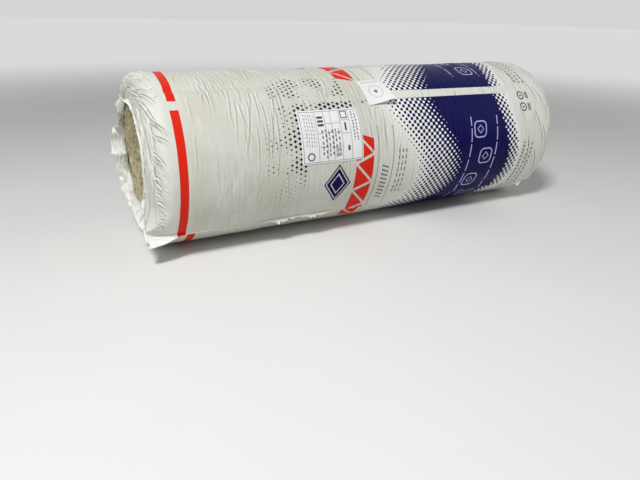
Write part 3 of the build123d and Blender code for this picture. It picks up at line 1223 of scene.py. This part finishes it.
def small_print(along, around):
    """Thin rules and dashes in place of words: a grey share and a dark one."""
    thin = band(along, 558.0, 2.0, 0.9) + band(along, 606.0, 2.0, 0.9)
    thin = thin * box(along, around, (580.0, 180.0), (60.0, 160.0))
    small = greeked(along - 619.0, around, 11.5, 17.0)
    small = small * box(along, around, (636.0, 145.0), (17.25, 66.0))
    title = band((around - 0.35 * along).wrap(12.0), 6.0, 4.4, 0.8)
    title = title * box(along, around, (583.0, 175.0), (11.0, 55.0))
    late = greeked(along - 1081.0, around, 16.0, 14.0) * along.step(*late_rows_from)
    late = late + greeked(along - 1076.0, around, 21.0, 11.0) * along.fade(*late_rows_from)
    late = late * box(along, around, (1105.0, 226.0), (24.0, 126.0))
    return (thin + small).least(1.0), (title + late).least(1.0)


def spots(nodes, along, across, around):
    """Small lozenges that grow and shrink in clouds, above and beside the label."""
    past = along - spots_from
    cell_along = past.wrap(spot_pitch) - spot_pitch / 2
    row = (past / spot_pitch).floor()
    cell_around = (around + row * (spot_pitch / 2)).wrap(spot_pitch) - spot_pitch / 2
    grown = nodes.cloud(nodes.join(along / 62.0, around / 62.0), 1.0, 2.0).step(0.34, 0.62)
    size = (grown * (2.2 + 5.0 * (past / (spots_to - spots_from)))).least(5.4)
    high_up = around.step(250.0, 290.0)
    size = size * (1.0 - 0.5 * around.step(108.0, 135.0) * (1.0 - high_up))
    size = size * (1.0 - 0.25 * high_up * around.fade(360.0, 380.0))
    marks = (cell_along.abs() + cell_around.abs() - size).inside(0.0, 0.8)
    field = box_distance(along, across, *spot_fields[0])
    for more in spot_fields[1:]:
        field = field.least(box_distance(along, across, *more))
    thinned = ((along - 500.0).most(0.0) / 80.0).inside(0.7, 0.6)
    return marks * field.inside(0.0, 1.0) * thinned


def ring_pair(along, across):
    """Two small rings at the far end, each with a dot and a pair of bars beside it."""
    pair = (across - 5.0).wrap(36.0) - 18.0
    off_row = along - ring_pair_along
    rings = (length_of(off_row, pair) - 11.5).abs().inside(1.9, 0.6)
    rings = rings.most((off_row.abs() + pair.abs() - 4.2).inside(0.0, 0.6))
    parted = (along - ring_pair_bars).abs().step(0.8, 1.6)
    rings = rings.most(box(along, pair, (ring_pair_bars, 0.0), (5.0, 11.0), 0.6) * parted)
    return rings * band(across, 41.0, 71.0)


def printed(nodes, base, along, arc):
    """The film's colour with the print on it, and how much of it is ink."""
    across = arc - stripe_middle - stripe_lean * (along - stripe_lean_from)
    around = (across - design_start).wrap(design_period)
    off_stripe = 1.0 - across.abs().inside(stripe_width / 2, 0.8)
    navy, bare = halftone(along, across)
    navy = navy * off_stripe
    ring = band(along - ring_lean * (arc - ring_lean_from), ring_middle, ring_width, 0.8)
    red = (triangles(along, around) + ring).least(1.0) * off_stripe
    lozenge = striped_lozenge(along, around)
    grey, dark = small_print(along, around)
    colour = nodes.layered(
        base,
        (bare * off_stripe * 0.85, FILM_PRINTED),
        (navy, NAVY),
        (badges(along, around) * off_stripe, LILAC),
        (red, RED),
        (lozenge, NAVY),
        (grey * off_stripe, GREY_INK),
        (dark * off_stripe * 0.8, DARK_INK),
        (spots(nodes, along, across, around), SPOT_INK),
        (ring_pair(along, across), DARK_INK),
    )
    return colour, (navy + red + lozenge).least(1.0)


def film_creases(nodes, x, y, along, arc):
    """The finest relief of the film, for the bump: crinkles, and barbs and stems at the near end."""
    slant = 1.5 - 1.35 * (arc / arc_per_degree).step(45.0, 125.0)
    barb_place = nodes.join(y - x * slant, x * 0.16)
    barbs = nodes.lines(barb_place, 60.0, 0.07) + 0.5 * nodes.lines(barb_place, 130.0, 0.08)
    barbs = barbs * along.step(-40.0, -14.0) * along.fade(8.0, 40.0)
    stems = nodes.lines(nodes.join(x, y * 0.10), 75.0, 0.09) * along.fade(-26.0, 2.0)
    flat = nodes.join(x, y)
    swing = nodes.cloud(nodes.join(x * 0.6, y), 14.0, 2.0) * 0.012
    body_place = nodes.join(x + swing, y * 0.13)
    on_body = along.step(40.0, 110.0) * nodes.cloud(flat, 7.0, 2.0).step(0.36, 0.62)
    runs = nodes.lines(body_place, 44.0, 0.09) + 0.5 * nodes.lines(body_place, 90.0, 0.1)
    crinkle = nodes.cloud(nodes.join(x * 3.2, y), 120.0, 5.0, 0.62)
    ladder = nodes.cloud(nodes.join(x * 14.0, y), 22.0, 3.0, 0.55)
    return crinkle * 0.45 + ladder * 0.4 + barbs * 0.7 + stems * 0.6 + runs * on_body * 0.9


def film_material():
    """White film, creamy where it is pressed on the wool, with its print."""
    nodes = Surface("printed_film")
    x, y, white = nodes.split(nodes.attribute("sheet"))
    along = x * 1000.0
    arc = y * 1000.0
    patches = nodes.cloud(nodes.join(x, y), 9.0, 4.0, 0.6)
    streaks = nodes.cloud(nodes.join(x * 5.0, y), 16.0, 4.0, 0.6)
    pressed = (patches * 0.85 + streaks * 0.3).step(0.38, 0.78)
    lifted = along.fade(-10.0, 95.0) * 0.9 + along.step(1120.0, 1210.0) * 0.3
    lifted = lifted + along.step(520.0, 640.0) * 0.85 + (streaks - 0.55).most(0.0) * 1.2
    # Painted shade in the hollows and a painted highlight on the ridges, read from the mesh
    painted_crease_shading = nodes.attribute("painted_crease_shading", "Fac") * 2.0 - 1.0
    base = nodes.layered(
        FILM_PRESSED,
        (pressed, FILM_MIDDLE),
        (lifted.least(1.0), FILM_LIFTED),
        (painted_crease_shading.most(0.0) * 0.72, FILM_PAINTED_SHADE),
        ((0.0 - painted_crease_shading).most(0.0) * 0.55, FILM_PAINTED_HIGHLIGHT),
    )
    colour, ink = printed(nodes, base, along, arc)
    lip_shade = nodes.cloud(nodes.join(x * 1.4, y * 0.45), 30.0, 3.0, 0.6).step(0.5, 0.62)
    lip_shade = lip_shade * white.step(0.0, 0.25) * arc.fade(-60.0, 20.0) * 0.5
    # The inner side's tone, then a painted highlight on the edges, rims and flap, and painted shade in
    # soft patches on the collars
    colour = nodes.layered(
        colour,
        (nodes.attribute("inside", "Fac"), FILM_INSIDE),
        (white * (1.0 - ink), FILM_EDGE_HIGHLIGHT),
        (lip_shade, FILM_PAINTED_SHADE),
    )
    height = film_creases(nodes, x, y, along, arc) * (1.0 - 0.5 * ink)
    return nodes.shade({
        "Base Color": colour,
        "Roughness": 0.28 + 0.14 * patches + 0.04 * ink,
        "Specular IOR Level": 0.09,
        "Normal": nodes.bump(height, 0.75, 0.0016),
    })


# The label's drawing, in millimetres from its near upper corner, as middles and half sizes
label_middle = (85.0, 65.0)
label_frame = (81.0, 61.0)
label_table = ((79.0, 65.0), (33.0, 61.0))
label_side = ((125.0, 65.0), (13.0, 61.0))
label_code = ((100.0, 105.0), (8.0, 11.0))
label_bold = ((58.0, 29.0), (8.0, 14.0))
label_square = ((125.0, 16.0), (8.0, 8.5))
label_blocks = (((125.0, 46.0), (2.6, 10.0)), ((129.0, 98.0), (3.2, 6.0)))
label_ring = (24.0, 112.0)
# Dashes: from, line pitch, word, middle, half size, strength
label_words = (
    (5.0, 6.5, 9.0, (25.0, 50.0), (16.0, 40.0), 0.7),
    (0.0, 9.0, 13.0, (79.0, 84.0), (28.0, 34.0), 1.0),
    (143.0, 9.0, 8.0, (151.0, 45.0), (7.0, 36.0), 1.0),
)


def label_material():
    """White paper with a ruled table, bars and dashes in place of print."""
    nodes = Surface("label_paper")
    x, y, _ = nodes.split(nodes.attribute("sheet"))
    across = x * 1000.0 + label_middle[0]
    down = y * 1000.0 + label_middle[1]
    flat = nodes.join(x, y)
    paper = nodes.cloud(flat, 60.0, 4.0)
    colour = nodes.blend(paper, LABEL_DULL, LABEL_BRIGHT)
    inner = box_distance(across, down, label_middle, label_frame)
    lines = inner.abs().inside(0.7, 0.7)
    rulings = (
        (across, (46.0, 70.0, 88.0, 112.0, 138.0), inner.inside(0.0, 0.7)),
        (down, (36.0, 58.0, 92.0), box(across, down, *label_table, 0.7)),
        (down, (30.0, 62.0), box(across, down, *label_side, 0.7)),
    )
    for value, places, zone in rulings:
        for place in places:
            lines = lines.most(band(value, place, 1.2, 0.7) * zone)
    code = box(across, down, *label_code, 0.6)
    stripes = (down.wave(2.3) + down.wave(3.7)).step(-0.1, 0.1)
    bold = box(across, down, *label_bold, 0.6) * band((down - 15.0).wrap(9.4), 4.7, 5.6)
    from_ring = length_of(across - label_ring[0], down - label_ring[1])
    bold = bold.most((from_ring - 8.5).abs().inside(1.6, 0.6))
    bold = bold.most(box_distance(across, down, *label_square).abs().inside(1.3, 0.6))
    for block in label_blocks:
        bold = bold.most(box(across, down, *block, 0.6))
    words = 0.0
    for start, pitch, word, middle, half, strength in label_words:
        dashes = greeked(across - start, down, pitch, word, 0.6) * box(across, down, middle, half, 0.5)
        words = dashes * strength + words
    words = words.least(1.0) * (1.0 - code)
    colour = nodes.layered(
        colour, (lines, GREY_INK), (code * stripes, DARK_INK), (bold, DARK_INK), (words, DARK_INK)
    )
    fibre = nodes.cloud(flat, 400.0, 4.0, 0.7)
    wave = nodes.cloud(nodes.join(x * 3.0, y), 25.0, 2.0)
    return nodes.shade({
        "Base Color": colour,
        "Roughness": 0.42 + 0.15 * paper,
        "Normal": nodes.bump(fibre * 0.15 + wave, 0.4, 0.001),
    })


def tag_material():
    """Glossy white paper with a faint ring, a dark lozenge in it and a row of dashes at the top."""
    nodes = Surface("tag_paper")
    x, y, _ = nodes.split(nodes.attribute("sheet"))
    across = x * 1000.0
    down = y * 1000.0
    below = down - 4.0
    paper = nodes.cloud(nodes.join(x, y), 90.0, 4.0)
    halo = (length_of(across, below) - 19.0).abs().inside(2.4, 1.2) * 0.6
    mark = (across.abs() + below.abs() - 6.5).inside(0.0, 0.8)
    dashes = band(down, -31.0, 3.4, 0.8) * (across * 1.6).wave(9.0).step(-0.5, -0.2)
    dashes = dashes * across.abs().inside(29.0, 1.0)
    marks = (mark + dashes * 0.7).least(1.0)
    return nodes.shade({
        "Base Color": nodes.layered(TAG_DULL, (paper, TAG_BRIGHT), (halo, TAG_RING), (marks, GREY_INK)),
        "Roughness": 0.34 + 0.14 * paper,
        "Normal": nodes.bump(paper, 0.25, 0.0008),
    })


def wool_material(name, tint):
    """Glass wool: olive and straw fibres with browner streaks along the turns."""
    nodes = Surface(name)
    place = nodes.attribute("sheet")
    x, y, z = nodes.split(place)
    up = z - radius * MM
    turned = nodes.math("ARCTAN2", y, up)
    along_turns = nodes.join(length_of(y, up), turned * 0.017, x * 0.4)
    broad = nodes.cloud(along_turns, 90.0, 3.0, 0.6)
    fine = nodes.cloud(along_turns, 420.0, 5.0, 0.75)
    speck = nodes.cloud(place, 1300.0, 2.0, 0.6)
    colour = nodes.layered(
        WOOL_DARK,
        (broad.step(0.35, 0.7), WOOL_STRAW),
        (fine.step(0.44, 0.66), WOOL_PALE),
        ((0.49 - speck).most(0.0) * 5.0, WOOL_SPECK),
        (tint, FIBRE_TINT),
    )
    return nodes.shade({
        "Base Color": colour,
        "Roughness": 0.9,
        "Specular IOR Level": 0.25,
        "Normal": nodes.bump(fine + speck * 0.5, 0.9, 0.0015),
    })


def ride_and_replace(piece, node):
    """A piece of the root body that stands for a CAD node."""
    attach(piece, "root")
    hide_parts(node)


for piece in make_film(film_material()):
    ride_and_replace(piece, "film_wrap")

for make, name, tint in ((make_wool, "glass_wool", 0.0), (make_fibres, "glass_fibre", 0.35)):
    ride_and_replace(make(wool_material(name, tint)), "wool_roll")

label = make_sticker("data_label_paper", label_place, label_step, label_material())
ride_and_replace(label, "data_label")

tag = make_sticker(
    "small_tag_paper", tag_place, tag_step, tag_material(), size=tag_size, turn=tag_turn, lift=tag_lift
)
ride_and_replace(tag, "small_tag")

# The floor, the lights and the camera, in metres and degrees
floor_half = 30.0
floor_fade_from = 1.6
floor_fade_to = 5.5
sky_strength = 0.25
backdrop_seen = 0.66
lit_place = (0.0, 0.0, 0.2)
lamps = {
    "key": dict(place=(-1.55, -1.45, 2.65), size=0.6, power=80),
    "fill": dict(place=(2.2, -1.5, 1.5), size=2.0, power=9),
}
sensor_width = 36.0
lens_length = 30.994
camera_place = (-0.8491, -1.3486, 0.5524)
camera_turn = (67.4575, -1.2474, -28.5534)


def seen_share(nodes):
    """1 for what the camera or a reflection sees, 0 for light that only lights the object."""
    light_path = nodes.tree.nodes.new("ShaderNodeLightPath")
    kinds = ("Is Camera Ray", "Is Glossy Ray", "Is Transmission Ray")
    camera_ray, glossy, through = (Value(nodes, light_path.outputs[kind]) for kind in kinds)
    return camera_ray.most(glossy).most(through)


def make_floor():
    """A plain pale floor with a faint unevenness, which fades into the backdrop far away."""
    nodes = Surface("studio_floor")
    place = nodes.add("ShaderNodeNewGeometry", {}, "Position")
    x, y, _ = nodes.split(place)
    away = length_of(x, y).step(floor_fade_from, floor_fade_to) * seen_share(nodes)
    tone = nodes.cloud(place, 3.0, 4.0)
    material = nodes.shade({
        "Base Color": nodes.layered(FLOOR_DULL, (tone, FLOOR_BRIGHT), (away, BLACK)),
        "Emission Strength": away * backdrop_seen,
        "Emission Color": WHITE,
        "Roughness": 0.85,
        "Specular IOR Level": 0.2,
    })
    corners = [(-1, -1), (1, -1), (1, 1), (-1, 1)]
    mesh = bpy.data.meshes.new("studio_floor")
    mesh.from_pydata([(floor_half * x, floor_half * y, 0) for x, y in corners], [], [(0, 1, 2, 3)])
    mesh.materials.append(material)
    floor = bpy.data.objects.new("studio_floor", mesh)
    bpy.context.scene.collection.objects.link(floor)


def make_world():
    """Plain grey light from all round; the camera and reflections see a paler backdrop."""
    world = bpy.data.worlds.new("studio")
    world.use_nodes = True
    nodes = Nodes(world.node_tree)
    inputs = {"Value": seen_share(nodes), "To Min": sky_strength, "To Max": backdrop_seen}
    sky = nodes.tree.nodes["Background"]
    sky.inputs["Color"].default_value = WHITE
    nodes.feed(sky.inputs["Strength"], nodes.add("ShaderNodeMapRange", inputs))
    bpy.context.scene.world = world


def add_lamp(name, place, size, power):
    """A soft square lamp that looks at the roll."""
    data = bpy.data.lights.new(name, "AREA")
    data.shape = "SQUARE"
    data.size = size
    data.energy = power
    lamp = bpy.data.objects.new(name, data)
    lamp.location = place
    x, y, z = np.array(lit_place) - np.array(place)
    lamp.rotation_euler = (math.atan2(math.hypot(x, y), -z), 0, math.atan2(y, x) - math.pi / 2)
    bpy.context.scene.collection.objects.link(lamp)


make_floor()
make_world()
for name, lamp in lamps.items():
    add_lamp(name, **lamp)

camera_data = bpy.data.cameras.new("camera")
camera_data.sensor_width = sensor_width
camera_data.lens = lens_length
camera = bpy.data.objects.new("camera", camera_data)
camera.location = camera_place
camera.rotation_euler = [math.radians(turn) for turn in camera_turn]
bpy.context.scene.collection.objects.link(camera)
bpy.context.scene.camera = camera
bpy.context.scene.view_settings.view_transform = "Standard"
